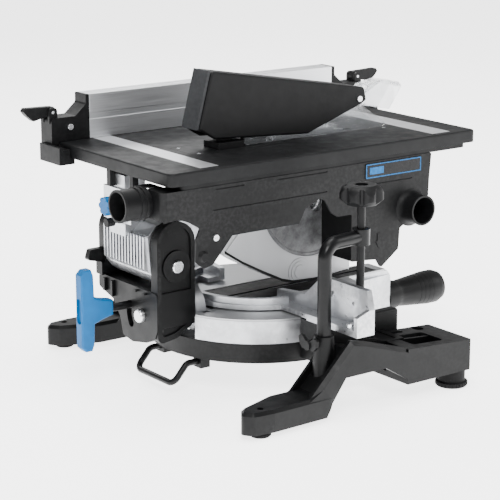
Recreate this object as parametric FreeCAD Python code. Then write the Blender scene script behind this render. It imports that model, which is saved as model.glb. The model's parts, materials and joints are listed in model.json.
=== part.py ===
import FreeCAD, Part
import math
import os

os.makedirs("parts", exist_ok=True)

# ---------------------------------------------------------------------------
# Combination mitre saw with an upper saw table.  Millimetres, Z up, the floor at z = 0.
# Shapes are drawn about the turntable axis: +X points at the operator, +Y is the motor
# side and the blade lies in the plane y = 0.  The head is modelled locked down.
# On saving, every node moves by ROW_SHIFT, so the origin lies on the floor midway
# between the two rear bench holes.
# ---------------------------------------------------------------------------

# Driving dimensions
ROW_SHIFT = 160.0
TURNTABLE_R = 138.0
TURNTABLE_Z = (69.3, 98.0)
WORK_TOP = 100.5
BASE_RING_R = 139.0
BASE_RING_Z = (45.0, 69.0)
PLATFORM_TOP = 100.0
RAIL_OUT, RAIL_IN = -232.0, -186.0
BEVEL_Y, BEVEL_Z = 0.0, 97.0
PIVOT_X, PIVOT_Z = -148.0, 162.0
PIVOT_R = 7.0
CHEEK_NEAR = (-34.0, -20.0)
CHEEK_FAR = (85.0, 99.0)
BLADE_X, BLADE_Z = 78.0, 212.0
BLADE_R = 105.0
BLADE_HALF = 1.2
TABLE_TOP = 296.0
TABLE_X, TABLE_Y = (-205.0, 280.0), (-106.0, 179.0)
TABLE_RIM_Z = 280.0
SKIRT_Z = 273.0
COVER_FACE = -100.0
SHEET = 3.0
FENCE_RAIL_X, FENCE_RAIL_Y = (-160.0, 237.0), (143.0, 170.0)
FENCE_RAIL_Z = (296.4, 353.0)
CLAMP_POST = (-50.0, -200.0)
CLAMP_ROD = (12.0, -192.0)
GAP = 0.4
RUN = 0.05
FAR = 400.0

V = FreeCAD.Vector
AXES = {"x": V(1, 0, 0), "y": V(0, 1, 0), "z": V(0, 0, 1)}
SIDE = {"x": V(0, 0, 1), "y": V(1, 0, 0), "z": V(1, 0, 0)}


# ---------------------------------------------------------------------------
# Shape helpers
# ---------------------------------------------------------------------------
def spot(axis, a, b, level):
    """Point at the given level on an axis; a and b are the two other coordinates in x, y, z order."""
    return {"x": V(level, a, b), "y": V(a, level, b), "z": V(a, b, level)}[axis]


def box(x, y, z):
    return Part.makeBox(x[1] - x[0], y[1] - y[0], z[1] - z[0], V(x[0], y[0], z[0]))


def bar(axis, centre, radius, span):
    return Part.makeCylinder(radius, span[1] - span[0], spot(axis, *centre, span[0]), AXES[axis])


def cone(axis, centre, radii, span):
    return Part.makeCone(radii[0], radii[1], span[1] - span[0], spot(axis, *centre, span[0]), AXES[axis])


def tube(axis, centre, outer, inner, span):
    return bar(axis, centre, outer, span).cut(bar(axis, centre, inner, (span[0] - 1, span[1] + 1)))


def contour(axis, points, level, corner):
    """Closed wire through the points; each corner is rounded by its own or the common radius."""
    pts = [spot(axis, p[0], p[1], level) for p in points]
    radii = [p[2] if len(p) > 2 else corner for p in points]
    ends = []
    for i, p in enumerate(pts):
        back, ahead = pts[i - 1] - p, pts[(i + 1) % len(pts)] - p
        half = back.getAngle(ahead) / 2
        if radii[i] <= 0 or math.pi / 2 - half < 0.03:
            ends.append((p, None, p))
            continue
        reach = min(radii[i] / math.tan(half), 0.48 * back.Length, 0.48 * ahead.Length)
        back.normalize()
        ahead.normalize()
        middle = (back + ahead).normalize()
        radius = reach * math.tan(half)
        hub = p + middle * (radius / math.sin(half))
        ends.append((p + back * reach, hub - middle * radius, p + ahead * reach))
    edges = []
    for i, (start, mid, end) in enumerate(ends):
        if mid is not None:
            edges.append(Part.Arc(start, mid, end).toShape())
        edges.append(Part.LineSegment(end, ends[(i + 1) % len(ends)][0]).toShape())
    return Part.Wire(edges)


def plate(axis, points, span, corner=0.0):
    """Flat outline extruded along an axis."""
    face = Part.Face(contour(axis, points, span[0], corner))
    return face.extrude(AXES[axis] * (span[1] - span[0]))


def rounded_block(x, y, z, corner):
    return plate("z", [(x[0], y[0]), (x[1], y[0]), (x[1], y[1]), (x[0], y[1])], z, corner)


def turned(axis, centre, profile):
    """Solid of revolution; the profile is (radius, station along the axis)."""
    foot = spot(axis, *centre, 0.0)
    pts = [foot + SIDE[axis] * r + AXES[axis] * s for r, s in profile]
    return Part.Face(Part.makePolygon(pts + pts[:1])).revolve(foot, AXES[axis], 360)


def join(*shapes):
    whole = shapes[0]
    for shape in shapes[1:]:
        whole = whole.fuse(shape)
    return whole.removeSplitter()


def carve(shape, *tools):
    for tool in tools:
        shape = shape.cut(tool)
    return shape


def shifted(shape, x=0.0, y=0.0, z=0.0):
    copy = shape.copy()
    copy.translate(V(x, y, z))
    return copy


def flipped(shape, at=0.0, axis="y"):
    return shape.mirror(AXES[axis] * at, AXES[axis])


def both_sides(shape, at=0.0, axis="y"):
    """The shape and its mirror image as separate solids."""
    return Part.makeCompound(shape.Solids + flipped(shape, at, axis).Solids)


def ring_of(shape, count, centre, axis="z"):
    """Copies of a shape turned round an axis through the centre."""
    copies = []
    for i in range(count):
        copy = shape.copy()
        copy.rotate(spot(axis, *centre, 0.0), AXES[axis], 360.0 * i / count)
        copies.append(copy)
    return copies


def soften(shape, radius, chosen):
    """Round the chosen edges."""
    return shape.makeFillet(radius, [e for e in shape.Edges if chosen(e)])


def flat_at(axis, level):
    """Edge test: the whole edge lies at one level of an axis."""
    low, high = {"x": ("XMin", "XMax"), "y": ("YMin", "YMax"), "z": ("ZMin", "ZMax")}[axis]
    return lambda e: (abs(getattr(e.BoundBox, low) - level) < 0.01
                      and abs(getattr(e.BoundBox, high) - level) < 0.01)


def save(node, *shapes):
    solids = [solid for shape in shapes for solid in shape.Solids]
    assert solids and all(s.isValid() and s.Volume > 1.0 for s in solids), node
    whole = solids[0] if len(solids) == 1 else Part.makeCompound(solids)
    shifted(whole, x=ROW_SHIFT).exportStep("parts/" + node + ".step")


# ---------------------------------------------------------------------------
# Base casting, feet, anti-tip bar
# ---------------------------------------------------------------------------
RAIL_PROFILE = [(-100, 8), (-72, 8), (-41, 50), (22, 50), (62, 26), (92, 22), (150, 22), (150, 59.5),
                (60, 67), (-8, 88), (-31, 93), (-40, 84), (-91, 33), (-100, 28)]
REAR_PAD = [(-187, -219), (-176, -204), (-124, -186), (-58, -186), (-58, -232), (-150, -235), (-178, -232)]
REAR_PAD_Z = (6.0, 33.0)
REAR_PAD_SIDE = [(-200, 0), (-73.4, 0), (-58, 26), (-58, 40), (-200, 40)]
PAD_CHAMFER = 4.0
PLATFORM_X = (-34.0, -5.0)
BRIDGE_X = (-34.0, 86.0)
SUPPORT_LUG = ((60.0, 112.0), (-151.0, -135.0), (54.0, 92.0))
PLATFORM_Y = -190.0
PLATFORM_Z = (67.0, PLATFORM_TOP)
PLATFORM_CLEAR_R = TURNTABLE_R + 1.5
RAIL_WALL = 4.0
RIDGE_WALL, RIDGE_CHAMFER = 10.0, 5.0
WEB_DROP, WEB_DEPTH = 12.0, 5.0
REAR_FOOT, FRONT_FOOT = (-160.0, -220.0), (146.0, -214.0)
FRONT_HOLE = (136.0, -160.0)
BENCH_HOLE_R = 4.2
BLOCK_Y = (-232.0, -150.0)
BLOCK_LOW = 22.0
BLOCK_TOP = [(57, BLOCK_LOW), (171, BLOCK_LOW), (171, 56), (163, 61), (60, 67), (57, 67)]
BLOCK_PLAN = [(57, -232), (160, -232), (171, -221), (171, -159), (162, -150), (57, -150)]
BLOCK_HOLLOW = [(61, 10), (167, 10), (167, 52), (61, 60)]
WINDOW = [(78, -217), (128, -217), (128, -176), (78, -176)]
SLOT_MARK = [(84, -166), (108, -166), (108, -158), (84, -158)]
FRONT_COUNTERBORE_R, FRONT_COUNTERBORE_Z = 7.5, 46.0
FRONT_FOOT_R = (17.0, 20.5)
REAR_FOOT_R = (12.0, 13.0)
HUB_R, SPIGOT_R = 22.0, 12.0
BAR_R, BAR_Y, BAR_Z = 4.0, 41.0, 15.0
BAR_BACK, BAR_BEND, BAR_END = -160.0, (-140.0, 38.0), -112.0
BAR_CURVE = 10.0
SOCKET_Z = (48.0, 97.0)
POST_R = 8.5
WING_Z = 89.0


def on_ridge(edge):
    """Upper outer edges of the rail."""
    return flat_at("y", RAIL_OUT)(edge) and all(
        any(abs(v.X - x) < 0.01 and abs(v.Z - z) < 0.01 for x, z in RAIL_PROFILE[7:13]) for v in edge.Vertexes)


def side_frame():
    """One side of the base: ridged rail, rear foot pad, front block, work support."""
    outer = plate("y", RAIL_PROFILE, (RAIL_OUT, RAIL_OUT + RIDGE_WALL))
    outer = outer.makeChamfer(RIDGE_CHAMFER, [e for e in outer.Edges if on_ridge(e)])
    inner = plate("y", RAIL_PROFILE, (RAIL_IN - RAIL_WALL, RAIL_IN))
    middle = plate("y", RAIL_PROFILE, (RAIL_OUT + RIDGE_WALL, RAIL_IN - RAIL_WALL))
    web = shifted(middle, z=-WEB_DROP).cut(shifted(middle, z=-WEB_DROP - WEB_DEPTH)).common(middle)
    pad = plate("z", REAR_PAD, REAR_PAD_Z, 7.0)
    pad = pad.makeChamfer(PAD_CHAMFER, [e for e in pad.Edges if flat_at("z", REAR_PAD_Z[1])(e)])
    pad = pad.common(plate("y", REAR_PAD_SIDE, (-FAR, 0)))
    block = plate("y", BLOCK_TOP, BLOCK_Y).common(plate("z", BLOCK_PLAN, (0, 100)))
    block = block.cut(plate("y", BLOCK_HOLLOW, (BLOCK_Y[0] + 4, BLOCK_Y[1] - 4)).common(
        plate("z", [(57, -226), (157, -226), (166, -217), (166, -162), (159, -155), (57, -155)], (0, 100))))
    block = block.cut(plate("z", WINDOW, (20, 80), 5.0)).cut(plate("z", SLOT_MARK, (20, 80), 3.9))
    foot_post = bar("z", FRONT_FOOT, 16.0, (BLOCK_LOW, 57.0))
    hole_post = bar("z", FRONT_HOLE, 9.8, (BLOCK_LOW, 57.0))
    lug = rounded_block(*SUPPORT_LUG, 5.0)
    lug = soften(lug, 4.0, flat_at("z", SUPPORT_LUG[2][1]))
    platform = box(PLATFORM_X, (PLATFORM_Y, 0), PLATFORM_Z)
    inside = box((PLATFORM_X[0] + 4, PLATFORM_X[1] - 4), (PLATFORM_Y + 5, -146), (60, PLATFORM_TOP - 6))
    platform = platform.cut(inside).cut(bar("z", (0, 0), PLATFORM_CLEAR_R, (60, 110)))
    bridge = box(BRIDGE_X, (PLATFORM_Y, -95), (50, BASE_RING_Z[1] - 2))
    bridge = bridge.cut(box((-26, 78), (PLATFORM_Y + 6, -146), (40, 80)))
    bridge = bridge.cut(bar("z", (0, 0), 118, (40, 80)))
    sleeve = cone("z", CLAMP_POST, (14.5, 12.0), SOCKET_Z)
    boss = bar("x", (CLAMP_POST[1], WING_Z), 5.5, (CLAMP_POST[0] - 15, CLAMP_POST[0]))
    rib = tube("y", (-100, 30), 62, 58, (-213, -208)).common(plate("y", RAIL_PROFILE, (-214, -207)))
    side = join(outer, inner, web, pad, block, foot_post, hole_post, lug, platform, bridge, sleeve, boss, rib)
    return carve(side, bar("z", CLAMP_POST, POST_R + RUN, (SOCKET_Z[0] + 4, FAR)),
                 bar("x", (CLAMP_POST[1], WING_Z), 3.0, (CLAMP_POST[0] - 16, CLAMP_POST[0])),
                 bar("z", REAR_FOOT, BENCH_HOLE_R, (0, 40)), bar("z", FRONT_HOLE, BENCH_HOLE_R, (0, 80)),
                 bar("z", FRONT_HOLE, FRONT_COUNTERBORE_R, (FRONT_COUNTERBORE_Z, 80)))


def base_casting():
    ring = tube("z", (0, 0), BASE_RING_R, 112.0, BASE_RING_Z)
    hub = bar("z", (0, 0), HUB_R, BASE_RING_Z)
    spokes = [box((-120, 120), (-8, 8), (50, 64)), box((-8, 8), (-120, 120), (50, 64))]
    lug = box((-124, BAR_END + 2), (BAR_Y - 8, BAR_Y + 8), (30, BASE_RING_Z[0] + 4))
    near = side_frame()
    base = join(ring, hub, *spokes, lug, flipped(lug), near, flipped(near))
    ends = [bar("x", (s * BAR_Y, BAR_BEND[1]), BAR_R, (-130, BAR_END)) for s in (-1, 1)]
    return carve(base, bar("z", (0, 0), SPIGOT_R + RUN, (40, 80)), *ends)


def rubber_foot(centre, height, radii, rim, hole):
    """Round foot, widest at its serrated lower rim."""
    top, low = radii
    body = turned("z", centre, [(0, 0), (low - 2, 0), (low, 2), (low, rim), (top, rim + 1.5), (top, height),
                                (0, height)])
    groove = bar("z", (centre[0] + low + 0.4, centre[1]), 1.3, (-1, rim + 0.5))
    body = carve(body, *ring_of(groove, 28, centre))
    return body.cut(bar("z", centre, hole, (-1, height + 1)))


def bent_rod(points, radius, curve):
    """Round rod along straight runs joined by smooth bends."""
    pts = [V(*p) for p in points]
    edges, last = [], pts[0]
    for before, corner, after in zip(pts, pts[1:], pts[2:]):
        back, ahead = (before - corner).normalize(), (after - corner).normalize()
        half = back.getAngle(ahead) / 2
        reach = curve / math.tan(half)
        middle = (back + ahead).normalize()
        start, end = corner + back * reach, corner + ahead * reach
        mid = corner + middle * (curve / math.sin(half) - curve)
        edges += [Part.LineSegment(last, start).toShape(), Part.Arc(start, mid, end).toShape()]
        last = end
    edges.append(Part.LineSegment(last, pts[-1]).toShape())
    profile = Part.Wire([Part.Circle(pts[0], pts[1] - pts[0], radius).toShape()])
    return Part.Wire(edges).makePipeShell([profile], True, False)


def anti_tip_bar():
    """Bent wire bar: two legs out of the ring lugs, down to a cross bar near the floor."""
    points = [(BAR_END, -BAR_Y, BAR_BEND[1]), (BAR_BEND[0], -BAR_Y, BAR_BEND[1]), (BAR_BACK, -BAR_Y, BAR_Z),
              (BAR_BACK, BAR_Y, BAR_Z), (BAR_BEND[0], BAR_Y, BAR_BEND[1]), (BAR_END, BAR_Y, BAR_BEND[1])]
    return bent_rod(points, BAR_R, BAR_CURVE)


save("base_casting", base_casting())
save("rubber_feet", both_sides(rubber_foot(REAR_FOOT, REAR_PAD_Z[0], REAR_FOOT_R, 4.0, BENCH_HOLE_R)),
     both_sides(rubber_foot(FRONT_FOOT, BLOCK_LOW, FRONT_FOOT_R, 6.0, 2.5)))
save("anti_tip_bar", anti_tip_bar())

# ---------------------------------------------------------------------------
# Mitre fence
# ---------------------------------------------------------------------------
FENCE_LOW = 102.0
BOW_R = (86.0, 101.0)
BOW_STEP_R = (92.0, 101.0)
WING_X = (-34.0, -7.0)
WING_PLATE_X = (-15.0, -7.0)
WING_FACE = [(-242, 100), (-242, 124), (-242, 131), (-236, 154), (-152, 154), (-118, 124), (-62, 118), (-62, 102),
             (-190, 102), (-190, 100)]
FENCE_BOLT = (-27.0, -222.0)


def fence_wing():
    inner_end = -62.0
    face = plate("x", WING_FACE, WING_PLATE_X, 2.0)
    foot = box(WING_X, (-190, inner_end), (FENCE_LOW, 108)).fuse(box(WING_X, (-242, -146), (PLATFORM_TOP, 108)))
    end = plate("y", [(-34, 100), (-34, 124), (-15, 131), (-15, 100)], (-242, -236))
    rib = plate("y", [(-34, 107), (-34, 110), (-15, 140), (-15, 107)], (-176, -171))
    wing = join(face, foot, end, rib)
    wing = wing.cut(bar("z", (0, 0), PLATFORM_CLEAR_R, (90, FENCE_LOW)))
    return wing.cut(bar("x", (-212, 133), 2.5, (-20, 0))).cut(bar("z", FENCE_BOLT, 3.2, (90, 120)))


def fence_bow():
    """Half-round rear link between the two wings, with a stepped wall and a top flange."""
    flange = tube("z", (0, 0), BOW_R[1], BOW_R[0], (FENCE_LOW, 108))
    wall = tube("z", (0, 0), BOW_STEP_R[1] - 3, BOW_STEP_R[0], (FENCE_LOW, 116))
    bow = flange.fuse(wall)
    return bow.common(box((-FAR, WING_X[0] + 12), (-FAR, FAR), (90, 130)))


near_wing = fence_wing()
save("mitre_fence", join(near_wing, flipped(near_wing), fence_bow()))


def cap_screw(centre, top, head, shank, axis="z", sign=1):
    """Socket head screw; the head stands above (or below) the given level."""
    head_h, socket, depth = head * 0.9, head * 0.5, 30.0
    span = (top, top + head_h) if sign > 0 else (top - head_h, top)
    shaft = (top - shank[1], top + 0.1) if sign > 0 else (top - 0.1, top + shank[1])
    body = bar(axis, centre, head, span).fuse(bar(axis, centre, shank[0], shaft)).removeSplitter()
    hexagon = [(centre[0] + socket * math.cos(math.radians(60 * i)),
                centre[1] + socket * math.sin(math.radians(60 * i))) for i in range(6)]
    cut_span = (top + head_h * 0.4, top + depth) if sign > 0 else (top - depth, top - head_h * 0.4)
    return body.cut(plate(axis, hexagon, cut_span))


save("fence_bolts", both_sides(cap_screw(FENCE_BOLT, 108.0, 5.5, (3.0, 8.0))))

# ---------------------------------------------------------------------------
# Turntable, kerf plate, mitre grip, bevel lock
# ---------------------------------------------------------------------------
NOTCH_X, NOTCH_Y = -121.0, 46.0
HUB_PLATE_X = (-121.0, -106.0)
HUB_PLATE_R = 36.0
ARM_END = 212.0
TOP_END, KERF_END = 203.0, 190.0
KERF_PLATE_TOP = 99.5
KERF_TOP = [(-100, -38), (118, -38), (118, -18), (KERF_END, -16), (KERF_END, 16), (118, 18), (118, 38), (-100, 38)]
KERF_SCREWS = [(-88, -30), (-88, 30), (106, -30), (106, 30)]
GRIP_Z = 56.0
LOCK_Y, LOCK_Z = 28.0, 105.0
LOCK_OUTLINE = [(-252, 62), (-252, 154), (-246, 160), (-237, 160), (-234, 152), (-233, 124), (-222, 120), (-206, 117),
                (-206, 98), (-222, 94), (-233, 90), (-234, 64), (-237, 56), (-246, 56)]
LOCK_HANDLE_Y = (20.5, 35.5)
BOLT_R = 7.0
BOLT_END = -107.0


def turntable():
    disc = bar("z", (0, 0), TURNTABLE_R, TURNTABLE_Z)
    disc = disc.cut(tube("z", (0, 0), 128, 30, (60, 90)))
    ribs = ring_of(box((20, 130), (-3, 3), (72, 92)), 6, (0, 0))
    arm_outline = [(118, -30), (160, -25), (ARM_END, -18), (ARM_END, 18), (160, 25), (118, 30)]
    arm = plate("z", arm_outline, (TURNTABLE_Z[0], 92), 3.0)
    drop = plate("z", [(141.5, -27), (160, -25), (ARM_END, -18), (ARM_END, 18), (160, 25), (141.5, 27)], (42, 72))
    nose = plate("y", [(141.5, 42), (ARM_END, 38), (ARM_END, 90), (206, 98), (118, 98), (118, 75), (141.5, 70)],
                 (-18, 18))
    spigot = bar("z", (0, 0), SPIGOT_R, (46, 80)).fuse(bar("z", (0, 0), 34, (TURNTABLE_Z[0], 96)))
    lug = bar("x", (BEVEL_Y, BEVEL_Z), HUB_PLATE_R, HUB_PLATE_X).common(box((-130, -90), (-50, 50), (75, 140)))
    body = join(disc, *ribs, arm, drop, nose, spigot, lug)
    body = carve(body, box((-150, NOTCH_X), (-NOTCH_Y, NOTCH_Y), (60, 140)),
                 bar("x", (BEVEL_Y, BEVEL_Z), BOLT_R + RUN, (-125, BOLT_END + 0.5)),
                 bar("x", (LOCK_Y, LOCK_Z), 4.0 + RUN, (-125, -100)),
                 bar("x", (0, GRIP_Z), 5.0 + RUN, (190, ARM_END + 1)),
                 box((-112, -102), (-41, -31), (92, 99)),
                 plate("z", [(-92, -5), (184, -5), (184, 5), (-92, 5)], (88, 99), 4.9))
    return body


def turntable_top():
    """Dark machined work surface with the recess for the kerf plate."""
    top = bar("z", (0, 0), TURNTABLE_R - 0.5, (TURNTABLE_Z[1], WORK_TOP))
    arm = plate("z", [(110, -22), (TOP_END, -18), (TOP_END, 18), (110, 22)], (TURNTABLE_Z[1], WORK_TOP), 2.0)
    top = join(top, arm)
    lug_gap = box((-150, HUB_PLATE_X[1] + 0.2), (-NOTCH_Y, NOTCH_Y), (90, 120))
    return carve(top, lug_gap, plate("z", KERF_TOP, (90, 120)))


def kerf_plate():
    outline = [(-99.8, -37.8), (117.8, -37.8), (117.8, -17.6), (KERF_END - 0.2, -15.6), (KERF_END - 0.2, 15.6),
               (117.8, 17.6), (117.8, 37.8), (-99.8, 37.8)]
    insert = plate("z", outline, (TURNTABLE_Z[1], KERF_PLATE_TOP), 1.0)
    slot = plate("z", [(-92, -3), (182, -3), (182, 3), (-92, 3)], (90, 120), 2.9)
    return carve(insert, slot, *[bar("z", c, 2.5, (90, 120)) for c in KERF_SCREWS])


def countersunk(centre, top, radius, depth, axis="z"):
    head = cone(axis, centre, (radius * 0.5, radius), (top - depth, top))
    slot = radius * 0.16
    cross = [box_about(axis, centre, (slot, radius * 0.7), (top - depth * 0.5, top + 1)),
             box_about(axis, centre, (radius * 0.7, slot), (top - depth * 0.5, top + 1))]
    return carve(head, *cross)


def box_about(axis, centre, half, span):
    a, b = centre
    return plate(axis, [(a - half[0], b - half[1]), (a + half[0], b - half[1]), (a + half[0], b + half[1]),
                        (a - half[0], b + half[1])], span)


def mitre_grip():
    profile = [(0, 213), (19.5, 213), (19.5, 230), (18, 238), (20, 258), (23, 290), (23, 304), (20, 312), (13, 316),
               (0, 316)]
    grip = turned("x", (0, GRIP_Z), profile)
    grooves = [tube("x", (0, GRIP_Z), 30, 20.6 + 0.7 * i, (266 + 7 * i, 268 + 7 * i)) for i in range(4)]
    return carve(grip, *grooves, bar("x", (0, GRIP_Z), 5.0, (205, 260)))


def lock_handle():
    """Flat T-shaped bevel lock handle with a finger recess in its rear face."""
    body = soften(plate("y", LOCK_OUTLINE, LOCK_HANDLE_Y), 2.5,
                  lambda e: flat_at("y", LOCK_HANDLE_Y[0])(e) or flat_at("y", LOCK_HANDLE_Y[1])(e))
    recess = plate("x", [(23, 92), (33, 92), (33, 124), (23, 124)], (-253, -249), 4.0)
    return carve(body, recess, bar("x", (LOCK_Y, LOCK_Z), 5.0, (-215, -200)))


save("turntable", turntable())
save("turntable_top", turntable_top())
save("kerf_plate", kerf_plate())
save("kerf_screws", *[countersunk(c, KERF_PLATE_TOP, 2.5, 1.4) for c in KERF_SCREWS])
save("mitre_grip", mitre_grip())
save("mitre_clamp_screw", bar("x", (0, GRIP_Z), 5.0, (195, 259)))
save("bevel_lock_handle", lock_handle())
save("bevel_lock_shaft", bar("x", (LOCK_Y, LOCK_Z), 5.0, (-214, -160)).fuse(
    bar("x", (LOCK_Y, LOCK_Z), 4.0, (-161, -106))).removeSplitter())

# ---------------------------------------------------------------------------
# Bevel arm with its bolt and the head pivot pin
# ---------------------------------------------------------------------------
ARM_X = (-177.0, -121.3)
ARM_TOP, DOME_R = 218.0, 27.8
NEAR_FOOT = [(-177, 66, 8), (-148, 71, 12), (-128, 83, 6), (-121.3, 92, 4)]
NEAR_INSET = [(-171, 74, 6), (-150, 78, 9), (-132, 88, 6), (-127.3, 97, 4)]
BACK_X = (-178.0, -168.0)
SADDLE_TOP = 131.0
BACK_PLATE = [(-34, 84), (-34, 131), (99, 131), (99, 114), (66, 104), (50, 84), (44, 62), (22, 58), (-10, 64),
              (-28, 72)]
SADDLE = [(-34, 84), (-34, 131), (99, 131), (99, 118), (60, 112), (44, 116), (20, 119), (10, 110), (-20, 90)]
SLOT_R = math.hypot(LOCK_Y - BEVEL_Y, LOCK_Z - BEVEL_Z)
SLOT_TOP = math.degrees(math.atan2(LOCK_Z - BEVEL_Z, LOCK_Y - BEVEL_Y))
SLOT_SWING = 47.0
SLOT_HALF = 5.6


def on_bevel(radius, angle):
    """Point of the YZ plane at a radius and angle round the bevel axis."""
    turn = math.radians(angle)
    return (BEVEL_Y + radius * math.cos(turn), BEVEL_Z + radius * math.sin(turn))


def arc_slot():
    span = (BACK_X[0] - 2, BACK_X[1] + 2)
    band = tube("x", (BEVEL_Y, BEVEL_Z), SLOT_R + SLOT_HALF, SLOT_R - SLOT_HALF, span)
    low = SLOT_TOP - SLOT_SWING
    wedge = plate("x", [(BEVEL_Y, BEVEL_Z), on_bevel(80, low), on_bevel(80, SLOT_TOP)], span)
    ends = [bar("x", on_bevel(SLOT_R, a), SLOT_HALF, span) for a in (low, SLOT_TOP)]
    return join(band.common(wedge), *ends)


def bevel_arm():
    x0, x1 = ARM_X
    dome = [(x1, ARM_TOP, DOME_R), (x0, ARM_TOP, DOME_R)]
    near = plate("y", NEAR_FOOT + dome, CHEEK_NEAR, 6.0)
    far = plate("y", [(x0, 118), (x1, 118)] + dome, CHEEK_FAR, 6.0)
    inset = NEAR_INSET + [(x1 - 6, ARM_TOP - 6, DOME_R - 6), (x0 + 6, ARM_TOP - 6, DOME_R - 6)]
    panel = plate("y", inset, (CHEEK_NEAR[0] - 1, CHEEK_NEAR[0] + 2.5), 4.0)
    panel = panel.cut(bar("y", (PIVOT_X, PIVOT_Z), 20.0, (-FAR, 0)))
    back = join(plate("x", BACK_PLATE, BACK_X, 5.0), bar("x", (BEVEL_Y, BEVEL_Z), 34.0, BACK_X))
    neck = bar("x", (BEVEL_Y, BEVEL_Z), 22.5, (BACK_X[0], ARM_X[1]))
    saddle = plate("x", SADDLE, (BACK_X[0] + 2, ARM_X[1]), 2.0)
    ribs = [box((-182, -177), (y, y + 4), (z0, 128)) for y, z0 in ((-12, 126), (8, 126), (62, 108), (80, 112))]
    flange = plate("x", [(44, 131), (99, 131), (99, 150), (92, 150)], (-182, -176), 2.0)
    flange = flange.common(box((-182, -176), (85, 99), (100, 150)))
    lug = plate("y", [(-200, 152), (-174, 146), (-174, 165), (-196, 165)], (89, 98), 3.0)
    arm = join(near.cut(panel), far, back, neck, saddle, *ribs, flange, lug)
    return carve(arm, arc_slot(), bar("x", (BEVEL_Y, BEVEL_Z), BOLT_R, (-190, -110)),
                 bar("y", (PIVOT_X, PIVOT_Z), PIVOT_R, (-40, 110)))


def hexagon_head(axis, centre, across, span):
    points = [(centre[0] + across / 2 * math.cos(math.radians(60 * i)) / math.cos(math.pi / 6),
               centre[1] + across / 2 * math.sin(math.radians(60 * i)) / math.cos(math.pi / 6)) for i in range(6)]
    return plate(axis, points, span)


save("bevel_arm", bevel_arm())
save("bevel_bolt", join(bar("x", (BEVEL_Y, BEVEL_Z), BOLT_R, (-179, BOLT_END)),
                        cone("x", (BEVEL_Y, BEVEL_Z), (7.5, 8.5), (-185, -183)),
                        bar("x", (BEVEL_Y, BEVEL_Z), 8.5, (-183, -178))))
save("head_pivot_pin", join(bar("y", (PIVOT_X, PIVOT_Z), PIVOT_R, (-36, 101)),
                            cone("y", (PIVOT_X, PIVOT_Z), (7.0, 8.0), (-38, -37)),
                            bar("y", (PIVOT_X, PIVOT_Z), 8.0, (-37, -34)),
                            hexagon_head("y", (PIVOT_X, PIVOT_Z), 17.0, (99, 105))))

# ---------------------------------------------------------------------------
# Head: arm casting, motor, side cover, dust ports
# ---------------------------------------------------------------------------
BARREL_R = 27.5
BARREL_Y = (-19.6, 84.6)
ARM_REAR = [(-176, 152), (-180, 200), (-166, 214), (-114, 214), (-114, 150), (-130, 136), (-160, 136)]
ARM_SIDE = [(-130, 150), (-130, 214), (-100, 268), (-100, 291), (130, 291), (134, 218), (120, 184), (88, 170),
            (40, 172), (-60, 182)]
ARM_SIDE_Y = (17.0, 42.0)
TABLE_POST = ((-190.0, -160.0), (16.0, 50.0), (196.0, 272.0))
POST_NECK = ((-179.0, -160.0), (16.0, 50.0), (260.0, 291.0))
REAR_PLATE = ((-193.5, -189.0), (0.0, 60.0), (214.0, 255.0))
FIN_X, FIN_Y, FIN_Z = (-184.0, -165.0), (-15.0, 80.0), (150.0, 206.0)
FIN_COUNT = 14
GUARD_HUB_R, GUARD_HUB_Y = 19.9, (8.2, 18.0)
SPINDLE_R = 8.0
MOTOR, MOTOR_R, MOTOR_Y = (88.0, 218.0), 46.0, (42.0, 112.0)
MOTOR_CAP_Y = (112.0, 128.0)
KNOB_AXIS = (32.0, 234.0)
SMALL_KNOB_AXIS = (32.0, 213.0)

COVER_TOP = 273.0
COVER_LOW_EDGE = [(-212, 235), (-205, 238), (-189, 239), (-174, 233), (-159, 224), (-165, 211), (-166, 184),
                  (-154, 174), (-141, 177), (-129, 190), (-112, 209), (-10, 209), (0, 227), (22, 236), (30, 233),
                  (41, 215), (51, 209), (74, 209)]
NOSE_EDGE = [(74, 147), (91, 146), (116, 144), (124, 132), (153, 153), (155, 180), (160, 183), (176, 182), (198, 197),
             (203, 218), (204, 242), (207, COVER_TOP)]
NOSE_SHELL = [(74, 230), (74, 147), (91, 146), (120, 144), (153, 153), (155, 180), (160, 183), (176, 182), (198, 197),
              (203, 218), (204, 242), (205, 262), (120, 262)]
NOSE_HOLLOW = [(77, 270), (77, 150), (92, 149), (120, 147), (150, 156), (152, 183), (159, 186), (174.5, 185),
               (195, 199), (200, 219), (201, 243), (202, 270)]
NOSE_BACK = -40.0
GROOVES = [((-140, 34), 243.0), ((115, 174), 243.0), ((-136, -94), 268.0), ((-43, 34), 268.0)]
ARROW = [(117, 178), (117, 168), (114, 168), (119.5, 159), (125, 168), (122, 168), (122, 178)]
PORT_R, PORT_BORE = 19.0, 17.0
LEFT_PORT, LEFT_PORT_X = (-61.0, 256.0), (-250.0, -212.0)
RIGHT_PORT, RIGHT_PORT_Y = (173.0, 205.0), (-125.0, -100.0)
BADGE = ((95.0, 189.0), (251.0, 271.0))
COVER_SCREW, COVER_BOSS = (-137.0, 210.0), (-155.0, 189.0)


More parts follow.
